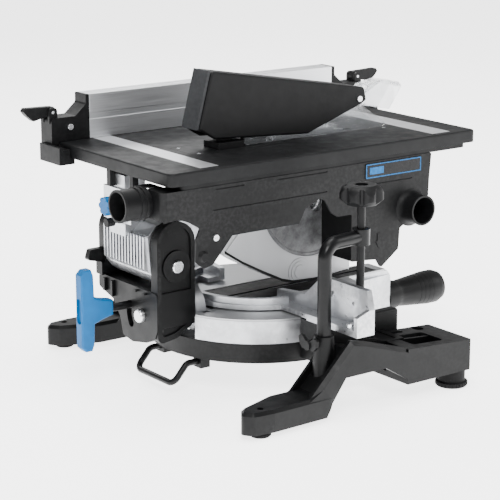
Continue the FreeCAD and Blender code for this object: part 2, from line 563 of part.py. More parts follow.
def head_arm():
    rear = plate("y", ARM_REAR, (-18, 83), 5.0)
    side = plate("y", ARM_SIDE, ARM_SIDE_Y, 6.0)
    barrel = bar("y", (PIVOT_X, PIVOT_Z), BARREL_R, BARREL_Y)
    hub = bar("y", (BLADE_X, BLADE_Z), GUARD_HUB_R, GUARD_HUB_Y)
    post = box(*TABLE_POST).fuse(box(*POST_NECK)).fuse(rounded_block(*REAR_PLATE, 1.5))
    pitch = (FIN_Y[1] - FIN_Y[0]) / FIN_COUNT
    fins = [box(FIN_X, (FIN_Y[0] + pitch * i, FIN_Y[0] + pitch * i + 2.6), FIN_Z) for i in range(FIN_COUNT)]
    fins = join(*fins).common(plate("y", [(-184, 160), (-184, 200), (-165, 206), (-165, 150), (-172, 150)], (-20, 90)))
    pockets = [plate("y", [(-152, 196), (-126, 196), (-126, 208), (-152, 208)], (-30, -12), 4.0)]
    arm = join(rear, side, barrel, hub, post, fins)
    return carve(arm, *pockets, bar("y", (PIVOT_X, PIVOT_Z), PIVOT_R + RUN, (-40, 110)),
                 bar("y", (BLADE_X, BLADE_Z), SPINDLE_R + RUN, (0, 36)),
                 bar("x", KNOB_AXIS, 4.0 + RUN, (-200, -172)), bar("x", SMALL_KNOB_AXIS, 2.5 + RUN, (-200, -170)),
                 plate("y", [(-60, 205), (-60, 262), (-96, 250), (-112, 214), (-104, 200)], (24, 60), 5.0))


def motor_housing():
    can = bar("y", MOTOR, MOTOR_R, MOTOR_Y)
    fin = box((MOTOR[0] - 2, MOTOR[0] + 2), (54, 104), (MOTOR[1] + MOTOR_R - 2, MOTOR[1] + MOTOR_R + 2.5))
    fins = []
    for i in range(24):
        copy = fin.copy()
        copy.rotate(V(MOTOR[0], 0, MOTOR[1]), AXES["y"], 15.0 * i)
        fins.append(copy)
    return join(can, *fins)


def motor_cap():
    cap = turned("y", MOTOR, [(0, 112), (43, 112), (43, 120), (36, 128), (0, 128)])
    vent = plate("y", [(MOTOR[0] + 14, MOTOR[1] - 2), (MOTOR[0] + 32, MOTOR[1] - 2), (MOTOR[0] + 32, MOTOR[1] + 2),
                       (MOTOR[0] + 14, MOTOR[1] + 2)], (122, 130), 1.5)
    vents = []
    for i in range(12):
        copy = vent.copy()
        copy.rotate(V(MOTOR[0], 0, MOTOR[1]), AXES["y"], 30.0 * i)
        vents.append(copy)
    return carve(cap, *vents)


def side_cover():
    """Thin side panel with a left return wall, a hollow nose and seam grooves."""
    outline = [(-212, COVER_TOP, 1.0)] + COVER_LOW_EDGE + NOSE_EDGE
    panel = plate("y", outline, (COVER_FACE, COVER_FACE + SHEET), 2.5)
    left = plate("z", [(-212, -100, 9), (-170, -100), (-170, -97), (-209, -97, 6), (-209, -40), (-212, -40)],
                 (239, COVER_TOP))
    top = box((-209, 205), (-98, -70), (COVER_TOP - SHEET, COVER_TOP)).fuse(
        box((-209, -190), (-98, -40), (COVER_TOP - SHEET, COVER_TOP)))
    right = box((203, 206), (-98, NOSE_BACK), (246, COVER_TOP))
    nose = plate("y", NOSE_SHELL, (COVER_FACE + 1, NOSE_BACK), 3.0)
    nose = nose.cut(plate("y", NOSE_HOLLOW, (COVER_FACE + SHEET, NOSE_BACK - SHEET), 3.0))
    boss = turned("y", COVER_BOSS, [(0, COVER_FACE + 1), (0, -104), (5, -104), (8, COVER_FACE + 1)])
    arrow = plate("y", ARROW, (COVER_FACE - 0.8, COVER_FACE + 1))
    cover = join(panel, left, top, right, nose, boss, arrow)
    corner = box((-214, -206), (-101, -93), (230, COVER_TOP + 1)).cut(
        bar("z", (-203, -91), 9.0, (229, COVER_TOP + 2)).fuse(box((-214, -206), (-93.5, -93), (229, 280))))
    corner = corner.cut(box((-203, -190), (-102, -90), (229, 280)))
    grooves = [box(x, (COVER_FACE - 1, COVER_FACE + 1.2), (z, z + 1.6)) for x, z in GROOVES]
    return carve(cover, corner, *grooves, bar("y", COVER_SCREW, 1.6, (-110, -90)),
                 bar("x", LEFT_PORT, PORT_BORE + 0.5, (-220, -200)),
                 bar("y", RIGHT_PORT, PORT_BORE + 0.5, (-110, -96)))


def dust_port(axis, centre, mouth, root):
    """Round spigot with two ribs; the mouth is at the lower coordinate."""
    pipe = tube(axis, centre, PORT_R, PORT_BORE, (mouth, root))
    lip = tube(axis, centre, PORT_R + 0.8, PORT_BORE, (mouth, mouth + 3))
    collars = [tube(axis, centre, PORT_R + 1.5, PORT_BORE, (root - d, root - d + 2.5)) for d in (8.0, 15.0)]
    return join(pipe, lip, *collars)


def right_port():
    flare = turned("y", RIGHT_PORT, [(PORT_BORE, -100), (PORT_BORE, -110), (PORT_R, -110), (PORT_R + 1, -105),
                                     (PORT_R + 3, -102), (PORT_R + 6, -100)])
    pipe = tube("y", RIGHT_PORT, PORT_R, PORT_BORE, RIGHT_PORT_Y)
    lip = tube("y", RIGHT_PORT, PORT_R + 0.8, PORT_BORE, (RIGHT_PORT_Y[0], RIGHT_PORT_Y[0] + 3))
    return join(pipe, flare, lip)


def lobed_knob(axis, centre, radius, lobes, span, shaft, shaft_span):
    """Star knob with rounded lobes and a shaft."""
    lobe_r = radius * 0.30
    core = bar(axis, centre, radius * 0.80, span)
    lobe = bar(axis, (centre[0] + radius - lobe_r, centre[1]), lobe_r, span)
    knob = join(core, *ring_of(lobe, lobes, centre, axis))
    knob = soften(knob, radius * 0.08, flat_at(axis, span[0]))
    return join(knob, bar(axis, centre, shaft, shaft_span))


save("head_arm", head_arm())
save("motor_housing", motor_housing())
save("motor_end_cap", motor_cap())
save("side_cover", side_cover())
save("left_dust_port", dust_port("x", LEFT_PORT, *LEFT_PORT_X))
save("right_dust_port", right_port())
save("badge_plate", plate("y", [(BADGE[0][0], BADGE[1][0]), (BADGE[0][1], BADGE[1][0]), (BADGE[0][1], BADGE[1][1]),
                                (BADGE[0][0], BADGE[1][1])], (COVER_FACE - 1, COVER_FACE), 2.0))
save("cover_screw", carve(join(bar("y", COVER_SCREW, 1.6, (COVER_FACE - 1, COVER_FACE + 8)),
                               bar("y", COVER_SCREW, 4.0, (COVER_FACE - 2.5, COVER_FACE))),
                          box_about("y", COVER_SCREW, (2.6, 0.5), (COVER_FACE - 3, COVER_FACE - 1.5)),
                          box_about("y", COVER_SCREW, (0.5, 2.6), (COVER_FACE - 3, COVER_FACE - 1.5))))
save("rear_knob", lobed_knob("x", KNOB_AXIS, 12.0, 7, (-211, -194), 4.0, (-195, -173)))
save("small_knob", join(bar("x", SMALL_KNOB_AXIS, 5.5, (-208, -197)), bar("x", SMALL_KNOB_AXIS, 2.5, (-198, -171))))

# ---------------------------------------------------------------------------
# Blade, flanges, lower guard, riving knife
# ---------------------------------------------------------------------------
TEETH = 40
GULLET = 7.0
BORE_R = 15.0
FLANGE_R = 25.0
RIM_LINE = [(-64, 162), (-36, 144), (-6, 128), (27, 111.5), (44, 106.3), (78, 104.2), (110, 104.6), (138, 107)]
RIM_BAND = [(x, z + 3.6) for x, z in RIM_LINE]
STRIP_BAND = [(x, z + 2.0) for x, z in RIM_LINE]
GUARD_FRONT = [(141, 112), (142, 196)]
GUARD_FAR = RIM_LINE + GUARD_FRONT + [(118, 220), (100, 244), (56, 244), (30, 205), (-44, 180)]
GUARD_NEAR = RIM_LINE + GUARD_FRONT + [(130, 204), (20, 204), (-40, 186)]
GUARD_NEAR_Y, GUARD_FAR_Y, RIM_Y = (-16.5, -15.0), (12.0, 14.0), (-17.5, -16.5)
DISC_AXIS, DISC_R, DISC_RING_R, DISC_Y = (78.0, 222.0), 87.0, 80.0, (-15.0, -12.5)
DISC_TOP, DISC_LAP = 250.0, 3.0
DISC_HOLE, DISC_HOLE_R = (85.0, 207.0), 11.0
ROLLER, ROLLER_R = (56.0, 120.0), 18.0
KNIFE_R = (109.0, 138.0)
KNIFE_ARC = (100.0, 170.0)
HOLDER = ((-56.0, -32.0), (1.0, 17.0), (231.0, 252.0))
GUARD_PIN, GUARD_PIN_R = (-54.0, 314.0), 3.0


def blade():
    points = []
    pitch = 2 * math.pi / TEETH
    for i in range(TEETH):
        for part, radius in ((0.0, BLADE_R), (0.22, BLADE_R - 1.2), (0.50, BLADE_R - 3.5), (0.78, BLADE_R - GULLET),
                             (0.97, BLADE_R - GULLET + 1)):
            angle = (i + part) * pitch
            points.append((BLADE_X + radius * math.cos(angle), BLADE_Z + radius * math.sin(angle)))
    disc = plate("y", points, (-BLADE_HALF, BLADE_HALF))
    slot = plate("y", [(BLADE_X + 78, BLADE_Z - 0.8), (BLADE_X + 110, BLADE_Z - 0.8), (BLADE_X + 110, BLADE_Z + 0.8),
                       (BLADE_X + 78, BLADE_Z + 0.8)], (-5, 5))
    slots = []
    for i in range(4):
        copy = slot.copy()
        copy.rotate(V(BLADE_X, 0, BLADE_Z), AXES["y"], 90.0 * i + 6)
        slots.append(copy)
    return carve(disc, bar("y", (BLADE_X, BLADE_Z), BORE_R, (-5, 5)), *slots)


def sector(radii, arc, span):
    """Part of a ring round the blade axis between two angles from +X."""
    ring = tube("y", (BLADE_X, BLADE_Z), radii[1], radii[0], span)
    steps = [arc[0] + (arc[1] - arc[0]) * i / 4 for i in range(5)]
    wedge = [(BLADE_X, BLADE_Z)] + [(BLADE_X + FAR * math.cos(math.radians(a)), BLADE_Z + FAR * math.sin(math.radians(a)))
                                    for a in steps]
    return ring.common(plate("y", wedge, span))


def lower_guard():
    """Two clear side plates joined by a strip that follows the rim."""
    far = join(plate("y", GUARD_FAR, GUARD_FAR_Y, 3.0), bar("y", (BLADE_X, BLADE_Z), 29.0, GUARD_FAR_Y))
    near = plate("y", GUARD_NEAR, GUARD_NEAR_Y, 3.0).cut(bar("y", DISC_AXIS, DISC_R - DISC_LAP, (-20, -10)))
    strip = plate("y", RIM_LINE[2:] + STRIP_BAND[:1:-1], (GUARD_NEAR_Y[0], GUARD_FAR_Y[1]))
    return carve(join(far, near, strip), bar("y", (BLADE_X, BLADE_Z), GUARD_HUB_R + 0.1, (0, 30)))


def guard_disc():
    """Opaque round plate with a shallow ring groove, lapped behind the opening of the near clear plate."""
    disc = bar("y", DISC_AXIS, DISC_R, DISC_Y)
    groove = tube("y", DISC_AXIS, DISC_RING_R, DISC_RING_R - 1.2, (DISC_Y[0] - 1, DISC_Y[0] + 0.8))
    hole = bar("y", DISC_HOLE, DISC_HOLE_R, (-20, 0))
    return carve(disc, groove, hole, box((-FAR, FAR), (-20, 0), (DISC_TOP, FAR)))


def guard_roller():
    """Stepped round boss on the near face of the lower guard, trimmed above the rim."""
    root = GUARD_NEAR_Y[0]
    profile = [(0, root), (ROLLER_R, root), (ROLLER_R, root - 1), (14, root - 1), (14, root - 2), (9, root - 2),
               (9, root - 3), (0, root - 3)]
    below = [(-FAR, 0), (FAR, 0)] + [(x, z + 0.3) for x, z in RIM_BAND[::-1]] + [(-FAR, 166)]
    disc_side = bar("y", DISC_AXIS, DISC_R - DISC_LAP, (-30, -10))
    return carve(turned("y", ROLLER, profile), plate("y", below, (-30, -10)), disc_side)


save("saw_blade", blade())
save("outer_flange", join(bar("y", (BLADE_X, BLADE_Z), FLANGE_R, (-5, -BLADE_HALF)),
                          cone("y", (BLADE_X, BLADE_Z), (16, 20), (-7, -5))))
save("spindle", join(bar("y", (BLADE_X, BLADE_Z), FLANGE_R, (BLADE_HALF, 6)),
                     bar("y", (BLADE_X, BLADE_Z), BORE_R, (-BLADE_HALF, BLADE_HALF)),
                     bar("y", (BLADE_X, BLADE_Z), SPINDLE_R, (5, 34))))
save("arbor_bolt", hexagon_head("y", (BLADE_X, BLADE_Z), 16.0, (-11.5, -7)))
save("lower_guard", lower_guard())
save("lower_guard_rim", plate("y", RIM_LINE + RIM_BAND[::-1], RIM_Y))
save("guard_disc", guard_disc())
save("guard_roller", guard_roller())
save("riving_knife", sector(KNIFE_R, KNIFE_ARC, (-1, 1)))
save("knife_holder", carve(box(*HOLDER), bar("y", (-44, 241), 2.5, (-5, 12))))

# ---------------------------------------------------------------------------
# Upper table
# ---------------------------------------------------------------------------
TABLE_CORNER = 9.0
INSERT_X, INSERT_Y = (-116.0, 202.0), (-29.0, 29.0)
INSERT_Z = 293.0
BLADE_SLOT = [(-40, -4), (152, -4), (152, 4), (-40, 4)]
SCALE_X = ((-155.0, -128.0), (212.0, 243.0))
SCALE_Y = (-95.0, 170.0)
SCALE_T = 1.0
SKIRT_OUT = ((-185.0, 267.0), (-99.0, 172.0))
CLIPS = ((36.0, 44.0, 257.0), (-15.0, -8.0, 263.0))
INSERT_SCREWS = [(-106, -22), (-106, 22), (192, -22), (192, 22)]
HINGE_BLOCK = ((-74.0, -34.0), (-19.0, 14.0), (TABLE_TOP, 304.0))
HINGE_LUG_X, HINGE_LUG_Y = (-62.0, -46.0), (-8.0, 3.0)


def upper_table():
    top = rounded_block(TABLE_X, TABLE_Y, (TABLE_RIM_Z, TABLE_TOP), TABLE_CORNER)
    top = soften(top, 2.5, flat_at("z", TABLE_TOP))
    inner_x, inner_y = (TABLE_X[0] + 4, TABLE_X[1] - 4), (TABLE_Y[0] + 4, TABLE_Y[1] - 4)
    top = top.cut(rounded_block(inner_x, inner_y, (TABLE_RIM_Z - 1, 291), TABLE_CORNER - 4))
    (x0, x1), (y0, y1) = SKIRT_OUT
    skirt = rounded_block((x0, x1), (y0, y1), (SKIRT_Z, 292), 6.0)
    skirt = skirt.cut(rounded_block((x0 + 4, x1 - 4), (y0 + 4, y1 - 4), (SKIRT_Z - 1, 291), 4.0))
    ribs = [box((x, x + 3), (y0, y1), (280, 292)) for x in (-140, 230)]
    clips = [box((-198, -190), (a, b), (low, 292)) for a, b, low in CLIPS]
    table = join(top, skirt, *ribs, *clips)
    pocket = rounded_block(INSERT_X, INSERT_Y, (INSERT_Z, TABLE_TOP + 5), 4.0)
    hole = rounded_block((INSERT_X[0] + 4, INSERT_X[1] - 4), (INSERT_Y[0] + 4, INSERT_Y[1] - 4), (270, 300), 3.0)
    strips = [box(x, SCALE_Y, (TABLE_TOP - SCALE_T, TABLE_TOP + 5)) for x in SCALE_X]
    return carve(table, pocket, hole, *strips)


def table_insert():
    x, y = (INSERT_X[0] + 0.3, INSERT_X[1] - 0.3), (INSERT_Y[0] + 0.3, INSERT_Y[1] - 0.3)
    insert = rounded_block(x, y, (INSERT_Z, TABLE_TOP), 3.7).cut(plate("z", BLADE_SLOT, (280, 300), 3.9))
    return carve(insert, *[bar("z", c, 2.5, (280, 300)) for c in INSERT_SCREWS])


save("upper_table", upper_table())
save("table_insert", table_insert())
save("insert_screws", *[countersunk(c, TABLE_TOP, 2.5, 2.0) for c in INSERT_SCREWS])
save("scale_strips", *[box(x, SCALE_Y, (TABLE_TOP - SCALE_T, TABLE_TOP)) for x in SCALE_X])
hinge_lug = box(HINGE_LUG_X, HINGE_LUG_Y, (303, GUARD_PIN[1])).fuse(bar("y", GUARD_PIN, 8.0, HINGE_LUG_Y))
save("guard_base_block", carve(join(rounded_block(*HINGE_BLOCK, 2.0), hinge_lug),
                               bar("y", GUARD_PIN, GUARD_PIN_R + RUN, (-30, 30))))

# ---------------------------------------------------------------------------
# Upper blade guard
# ---------------------------------------------------------------------------
GUARD_Y = (-20.0, 15.0)
GUARD_OUTLINE = [(-84, 395, 5), (-103, 324, 4), (-80, 310, 3), (67, 301, 6), (154, 330, 4), (164, 335, 3),
                 (160, 352, 4)]
GUARD_HOLLOW = [(-81, 391.2), (-99, 325), (-90, 280), (78, 280), (172, 321, 0), (172, 347, 0)]
GUARD_WALL = 2.5
NOSE_PIN, NOSE_PIN_R = (151.0, 338.0), 2.5
FLAP = [(-32, 297), (204, 297), (180, 314), (158, 328), (158, 346), (138, 346), (60, 314), (-32, 318)]
FLAP_Y = ((-17.3, -15.7), (10.7, 12.3))
VISOR = [(146, 330), (143, 342), (150, 347), (161, 346), (169, 353), (197, 358), (223, 353), (228, 347), (207, 318),
         (168, 326)]
VISOR_Y = ((-14.8, -13.3), (8.3, 9.8))
VISOR_EDGE = [(171, 353.2), (197, 358), (223, 353), (228, 347), (226, 346), (221.5, 351.2), (197, 356), (171, 351.2)]
REAR_STRIP = [(-84.5, 395), (-103.5, 324), (-107, 324), (-106, 331), (-88.5, 396)]


def guard_cover():
    shell = plate("y", GUARD_OUTLINE, GUARD_Y)
    shell = soften(shell, 3.0, flat_at("y", GUARD_Y[0]))
    hollow = plate("y", GUARD_HOLLOW, (GUARD_Y[0] + GUARD_WALL, GUARD_Y[1] - GUARD_WALL), 2.0)
    return carve(shell, hollow, bar("y", NOSE_PIN, NOSE_PIN_R, (-40, 40)), bar("y", GUARD_PIN, GUARD_PIN_R, (-18.5, 13.5)))


def twin_plates(outline, layers, corner):
    return [plate("y", outline, layer, corner) for layer in layers]


def visor():
    sides = twin_plates(VISOR, VISOR_Y, 3.0)
    edge = plate("y", VISOR_EDGE, (VISOR_Y[0][0], VISOR_Y[1][1]))
    return join(*sides, edge).cut(bar("y", NOSE_PIN, NOSE_PIN_R + RUN, (-40, 40)))


save("guard_cover", guard_cover())
save("guard_rear_strip", plate("y", REAR_STRIP, (GUARD_Y[0] + 2, GUARD_Y[1] - 2)))
save("guard_flaps", *[p.cut(bar("y", NOSE_PIN, NOSE_PIN_R, (-40, 40))) for p in twin_plates(FLAP, FLAP_Y, 3.0)])
save("guard_visor", visor())
save("guard_nose_pin", join(bar("y", NOSE_PIN, NOSE_PIN_R, GUARD_Y),
                            bar("y", NOSE_PIN, 4.0, (GUARD_Y[0] - 2, GUARD_Y[0])),
                            bar("y", NOSE_PIN, 4.0, (GUARD_Y[1], GUARD_Y[1] + 2))))
save("guard_pivot_pin", bar("y", GUARD_PIN, GUARD_PIN_R, (-18.5, 13.5)))

# ---------------------------------------------------------------------------
# Rip fence
# ---------------------------------------------------------------------------
FENCE_MID = (FENCE_RAIL_X[0] + FENCE_RAIL_X[1]) / 2
BRACKET = [(-160, 296.4), (-160, 353), (-165, 353), (-165, 341, 4), (-181, 327, 4), (-216, 327, 5), (-216, 292, 2),
           (-206, 292), (-206, 296.4)]
EARS = ((146.5, 150.5), (161.5, 165.5))
LEVER_PIN, LEVER_PIN_R = (-211.0, 334.0), 2.0
LEVER = [(-217, 328.5), (-206, 328.5), (-205, 334), (-207, 340.5), (-216, 341), (-248, 342), (-251, 338),
         (-246, 332), (-237, 324.5), (-226, 327)]
LEVER_Y = (151.0, 161.0)
JAW_Y = (115.0, 164.0)
JAW_ROD = (-211.0, 156.0)
FENCE_SCREW = (-189.0, 314.0)


def fence_rail():
    y0, y1 = FENCE_RAIL_Y
    z0, z1 = FENCE_RAIL_Z
    rail = box(FENCE_RAIL_X, FENCE_RAIL_Y, FENCE_RAIL_Z)
    wall, middle = 2.2, (z0 + z1) / 2
    cells = [box((-FAR, FAR), (y0 + wall, y1 - wall), (z0 + wall, middle - 1)),
             box((-FAR, FAR), (y0 + wall, y1 - wall), (middle + 1, z1 - wall))]
    slot = box((-FAR, FAR), (y0 - 1, y0 + 1.2), (middle - 4, middle + 4))
    return carve(rail, *cells, slot)


def bracket():
    body = plate("y", BRACKET, FENCE_RAIL_Y, 1.0)
    ears = [plate("y", [(-217, 320), (-205, 320), (-205, 340, 5), (-217, 340, 5)], e, 0.5) for e in EARS]
    tab = box((-168, -160), (FENCE_RAIL_Y[0] + 2.4, FENCE_RAIL_Y[1] - 2.4), (300, 320))
    body = join(body, *ears, tab)
    return carve(body, bar("y", LEVER_PIN, LEVER_PIN_R, (140, 175)), bar("z", JAW_ROD, 3.0 + RUN, (280, 323)),
                 bar("y", FENCE_SCREW, 2.0, (140, 160)))


def lever():
    return carve(plate("y", LEVER, LEVER_Y, 1.5), bar("y", LEVER_PIN, LEVER_PIN_R + RUN, (140, 175)))


def jaw():
    hook = plate("y", [(-222, 272), (-200, 272), (-200, 279.4), (-206.2, 279.4), (-206.2, 291), (-216.4, 291),
                       (-216.4, 294.5), (-222, 294.5)], JAW_Y, 0.8)
    return join(hook, bar("z", JAW_ROD, 3.0, (285, 319)))


def mirrored_right(shape):
    return flipped(shape, FENCE_MID, "x")


lever_pin = bar("y", LEVER_PIN, LEVER_PIN_R, (EARS[0][0], EARS[1][1]))
fence_screw = join(bar("y", FENCE_SCREW, 2.0, (141, 158)), bar("y", FENCE_SCREW, 4.0, (140.5, 143)))
save("fence_rail", fence_rail())
save("left_fence_bracket", bracket())
save("right_fence_bracket", mirrored_right(bracket()))
save("fence_bracket_screws", both_sides(fence_screw, FENCE_MID, "x"))
save("lever_pins", both_sides(lever_pin, FENCE_MID, "x"))
save("left_cam_lever", lever())
save("right_cam_lever", mirrored_right(lever()))
save("left_clamp_jaw", jaw())
save("right_clamp_jaw", mirrored_right(jaw()))

# ---------------------------------------------------------------------------
# Hold-down clamp
# ---------------------------------------------------------------------------
ARM_Z = 208.0
BEND_R = 18.0
CLAMP_ROD_R = 5.0
KNOB_Z = (248.0, 272.0)
PAD_Z = (122.0, 131.0)


def clamp_arm():
    """Bent round bar: upright post, bend, arm reaching to the rod boss."""
    reach = V(CLAMP_ROD[0] - CLAMP_POST[0], CLAMP_ROD[1] - CLAMP_POST[1], 0)
    length = reach.Length
    reach.normalize()
    foot, corner = V(*CLAMP_POST, SOCKET_Z[0] + 5), V(*CLAMP_POST, ARM_Z)
    start, end = corner - AXES["z"] * BEND_R, corner + reach * BEND_R
    middle = corner + (reach - AXES["z"]) * (BEND_R * (1 - math.sqrt(0.5)))
    path = Part.Wire([Part.LineSegment(foot, start).toShape(), Part.Arc(start, middle, end).toShape(),
                      Part.LineSegment(end, corner + reach * (length - 4)).toShape()])
    profile = Part.Wire([Part.Circle(foot, AXES["z"], POST_R).toShape()])
    pipe = path.makePipeShell([profile], True, False)
    boss = bar("z", CLAMP_ROD, 11.0, (ARM_Z - 10, ARM_Z + 10))
    return join(pipe, boss).cut(bar("z", CLAMP_ROD, CLAMP_ROD_R + RUN, (150, 250)))


def clamp_knob():
    knob = lobed_knob("z", CLAMP_ROD, 27.0, 7, KNOB_Z, CLAMP_ROD_R, (PAD_Z[0] + 4, KNOB_Z[0] + 4))
    low, high = KNOB_Z
    dome = turned("z", CLAMP_ROD, [(0, 0), (19, 0), (19, low), (27, low + 7), (27, high - 10), (24, high - 4),
                                   (18, high), (0, high)])
    hollow = bar("z", CLAMP_ROD, 8.0, (high - 3, high + 1))
    return knob.common(dome).cut(hollow)


def clamp_pad():
    profile = [(0, PAD_Z[0]), (15, PAD_Z[0]), (16, PAD_Z[0] + 2), (14, PAD_Z[0] + 4.5), (9, PAD_Z[1]), (0, PAD_Z[1])]
    return turned("z", CLAMP_ROD, profile).cut(bar("z", CLAMP_ROD, CLAMP_ROD_R + RUN, (PAD_Z[0] + 3.7, PAD_Z[1] + 1)))


def wing_screw():
    x0 = CLAMP_POST[0]
    shaft = bar("x", (CLAMP_POST[1], WING_Z), 3.0 - RUN, (x0 - 24, x0 - POST_R - 0.3))
    hub = cone("x", (CLAMP_POST[1], WING_Z), (5.5, 6.5), (x0 - 27, x0 - 16))
    wing = [(-4, -4), (-10, -6), (-16, 0), (-17, 9), (-11, 11), (-4, 5), (4, 5), (11, 11), (17, 9), (16, 0), (10, -6),
            (4, -4)]
    wings = plate("x", [(CLAMP_POST[1] + a, WING_Z + b) for a, b in wing], (x0 - 25, x0 - 21), 2.5)
    return join(shaft, hub, wings)


save("clamp_arm", clamp_arm())
save("clamp_knob", clamp_knob())
save("clamp_pad", clamp_pad())
save("clamp_wing_screw", wing_screw())
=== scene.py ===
import json
import math

import bmesh
import bpy
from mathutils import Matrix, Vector


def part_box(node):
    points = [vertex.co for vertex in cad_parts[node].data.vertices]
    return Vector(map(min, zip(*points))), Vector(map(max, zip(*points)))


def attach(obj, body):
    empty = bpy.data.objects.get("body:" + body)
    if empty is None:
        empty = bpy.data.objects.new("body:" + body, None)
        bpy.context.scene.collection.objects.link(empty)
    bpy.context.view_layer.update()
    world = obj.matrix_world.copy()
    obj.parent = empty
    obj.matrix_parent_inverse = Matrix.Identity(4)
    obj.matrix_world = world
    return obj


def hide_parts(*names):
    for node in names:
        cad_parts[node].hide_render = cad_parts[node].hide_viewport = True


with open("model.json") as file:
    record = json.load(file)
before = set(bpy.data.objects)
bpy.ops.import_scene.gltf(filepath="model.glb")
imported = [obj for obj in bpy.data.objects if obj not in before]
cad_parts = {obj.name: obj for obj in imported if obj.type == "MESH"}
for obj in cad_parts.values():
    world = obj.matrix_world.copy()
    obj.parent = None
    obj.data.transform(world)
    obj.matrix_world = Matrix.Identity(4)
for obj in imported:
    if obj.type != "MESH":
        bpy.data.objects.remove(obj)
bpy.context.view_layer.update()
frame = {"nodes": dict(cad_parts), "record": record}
MM = 0.001
NODES = frame["nodes"]
BODY_OF = {n: body for body, members in frame["record"]["behaviour"]["bodies"].items() for n in members}
SLOT_OF = {s["node"]: s["material_slot"] for s in frame["record"]["subparts"]}

JOINTS = {j["name"]: j for j in frame["record"]["behaviour"]["joints"]}

# Places, in metres, read from the frame
BLADE_LOW, BLADE_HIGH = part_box("saw_blade")
BLADE_AXIS = (BLADE_LOW + BLADE_HIGH) / 2
BADGE_LOW, BADGE_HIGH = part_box("badge_plate")
TURN_AXIS = Vector(JOINTS["mitre_swivel"]["pos_m"])

# Mesh finish
MERGE_GAP = 1e-6
FLAT_ANGLE = 0.6
SHARP_ANGLE = 50
BEVEL_ANGLE = 32.0
DEFAULT_BEVEL = 0.4
UNMERGED = {"side_cover"}
BEVELS = {
    "base_casting": 1.0, "upper_table": 0.5, "bevel_arm": 1.0, "mitre_fence": 0.8, "turntable": 0.9,
    "head_arm": 1.0, "side_cover": 0.5, "saw_blade": 0.12, "rubber_feet": 0.3, "kerf_screws": 0.1,
    "insert_screws": 0.1, "scale_strips": 0.15, "badge_plate": 0.3, "bevel_lock_handle": 1.4,
    "rear_knob": 0.6, "clamp_knob": 1.2, "table_insert": 0.25, "turntable_top": 0.3, "kerf_plate": 0.3,
    "lower_guard": 0.3, "guard_flaps": 0.3, "guard_visor": 0.3, "mitre_grip": 0.5,
}

# Marks on the badge plate, in metres
MARK_EDGE = 1.0 * MM
MARK_BAR = 1.3 * MM
BLOCK_START = 7 * MM
BLOCK_END = 30 * MM
BLOCK_MARGIN = 5.5 * MM
MARK_PROUD = 0.25 * MM
MARK_SUNK = 0.1 * MM
MARK_BEVEL = 0.2 * MM

# Studio
FLOOR_HALF = 20.0
FLOOR_DROP = 0.5 * MM
FLOOR_GLOW = 3.0
SKY_STRENGTH = 0.5
CENTRE = (0.16, 0.0, 0.2)
LAMPS = [
    ("key", (-0.94, -1.6, 1.9), (1.0, 1.0), 60),
    ("fill", (2.06, -1.0, 1.1), (1.0, 1.0), 22),
    ("back", (0.56, 2.0, 1.7), (2.2, 0.8), 36),
    ("top", (0.16, 0.0, 2.4), (1.2, 1.2), 46),
]
EYE = (-1.1987, -1.8141, 0.7301)
EYE_FORWARD = (0.5778, 0.7780, -0.2465)
EYE_LENS = 130.8
EYE_SENSOR = 36.0


